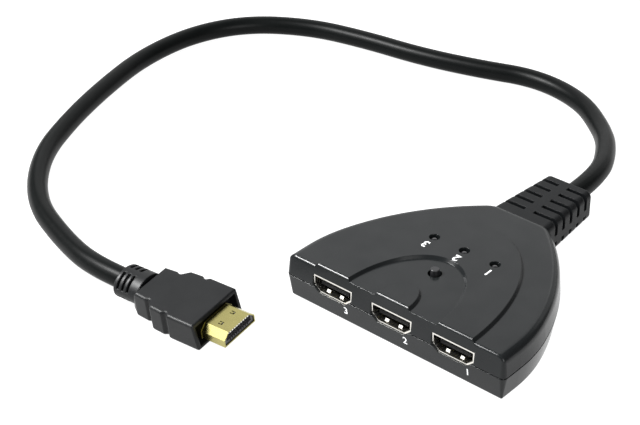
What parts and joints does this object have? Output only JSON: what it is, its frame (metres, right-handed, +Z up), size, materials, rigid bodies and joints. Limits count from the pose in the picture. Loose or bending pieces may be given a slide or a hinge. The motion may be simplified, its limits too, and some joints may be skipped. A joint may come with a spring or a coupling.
{
  "type": "video switch box",
  "caption": "Fan-shaped switch box with ports along its straight front, a select button, status lights and a captive lead with a plug.",
  "frame": {"origin": "bottom centre of the box's own bounding box, without the lead, its strain relief and its plug", "axes": "+Z up, square to the flat underside; the ports face -Y; +X across the box towards port 1; the lead leaves towards +Y"},
  "size_m": [0.2302, 0.2039, 0.0168],
  "materials": {
    "cover_plastic": "fine satin grain",
    "black_plastic": "satin",
    "grey_plastic": "satin",
    "soft_black": "satin moulded",
    "cord_black": "smooth satin",
    "wire_white": "smooth",
    "bright_steel": "bright plated",
    "zinc_steel": "zinc plated",
    "gold_plate": "gold plated",
    "board_green": "solder mask",
    "ceramic_brown": "fired ceramic",
    "clear_lens": "clear moulded lens"
  },
  "bodies": {
    "box": {"bottom_cover": "cover_plastic", "cable_boot": "soft_black", "capacitors": "ceramic_brown", "case_screws": "zinc_steel", "circuit_board": "board_green", "cord": "cord_black", "lead_inner": "cord_black", "lead_wires": "wire_white", "light_1": "clear_lens", "light_2": "clear_lens", "light_3": "clear_lens", "light_leads": "bright_steel", "memory_chip_pins": "bright_steel", "memory_chips": "black_plastic", "plug_collar": "gold_plate", "plug_contacts": "bright_steel", "plug_grip": "soft_black", "plug_insulator": "grey_plastic", "plug_shell": "gold_plate", "resistors": "black_plastic", "socket_1_contacts": "gold_plate", "socket_1_shell": "bright_steel", "socket_1_tongue": "black_plastic", "socket_2_contacts": "gold_plate", "socket_2_shell": "bright_steel", "socket_2_tongue": "black_plastic", "socket_3_contacts": "gold_plate", "socket_3_shell": "bright_steel", "socket_3_tongue": "black_plastic", "switch_base": "black_plastic", "switch_dome": "bright_steel", "switch_frame": "bright_steel", "switch_legs": "bright_steel", "switching_chip": "black_plastic", "switching_chip_pins": "bright_steel", "top_cover": "cover_plastic", "voltage_regulator": "black_plastic"},
    "button": {"select_button": "black_plastic"}
  },
  "joints": [
    {"name": "select_press", "type": "slide", "parent": "box", "child": "button", "axis": [0, 0, -1], "range_m": [0, 0.00025], "stiffness_N_per_m": 6000}
  ]
}
